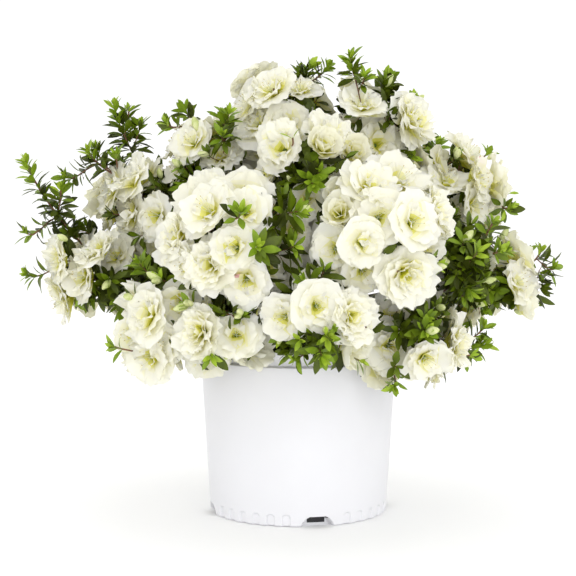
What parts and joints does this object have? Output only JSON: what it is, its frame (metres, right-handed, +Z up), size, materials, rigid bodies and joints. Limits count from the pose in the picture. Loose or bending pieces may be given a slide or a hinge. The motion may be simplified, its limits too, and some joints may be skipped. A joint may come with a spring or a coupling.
{
  "type": "potted azalea shrub",
  "caption": "Rounded evergreen azalea shrub in full white double bloom, growing in a plain tapered white plastic nursery pot with a rolled lip and drain notches.",
  "frame": {"origin": "middle of the flat underside of the pot, on the surface it stands on", "axes": "+Z up the shrub, -Y towards the side that faces the viewer, +X to the viewer's right"},
  "size_m": [0.7056, 0.5663, 0.5814],
  "materials": {
    "pot": "satin white moulded plastic",
    "soil": "rough dark bark mix",
    "bark": "matt brown bark",
    "blossom": "soft matt white petals",
    "leaf": "leathery green leaves"
  },
  "bodies": {
    "root": {"pot": "pot", "soil": "soil", "stem": "bark", "bough_back_far_right": "bark", "bough_back_left": "bark", "bough_back_low": "bark", "bough_back_right": "bark", "bough_back_top": "bark", "bough_centre": "bark", "bough_centre_left": "bark", "bough_centre_right": "bark", "bough_far_left": "bark", "bough_far_right": "bark", "bough_front_low": "bark", "bough_front_low_left": "bark", "bough_left_low": "bark", "bough_left_upper": "bark", "bough_mid_right": "bark", "bough_right_low": "bark", "bough_right_upper": "bark", "bough_top_centre": "bark", "bough_top_left": "bark", "bough_top_right": "bark", "mass_back_far_right": "blossom", "mass_back_left": "blossom", "mass_back_low": "blossom", "mass_back_right": "blossom", "mass_back_top": "blossom", "mass_centre": "blossom", "mass_centre_left": "blossom", "mass_centre_right": "blossom", "mass_far_left": "blossom", "mass_far_right": "blossom", "mass_front_low": "blossom", "mass_front_low_left": "blossom", "mass_left_low": "blossom", "mass_left_upper": "blossom", "mass_mid_right": "blossom", "mass_right_low": "blossom", "mass_right_upper": "blossom", "mass_top_centre": "blossom", "mass_top_left": "blossom", "mass_top_right": "blossom"}
  },
  "joints": []
}
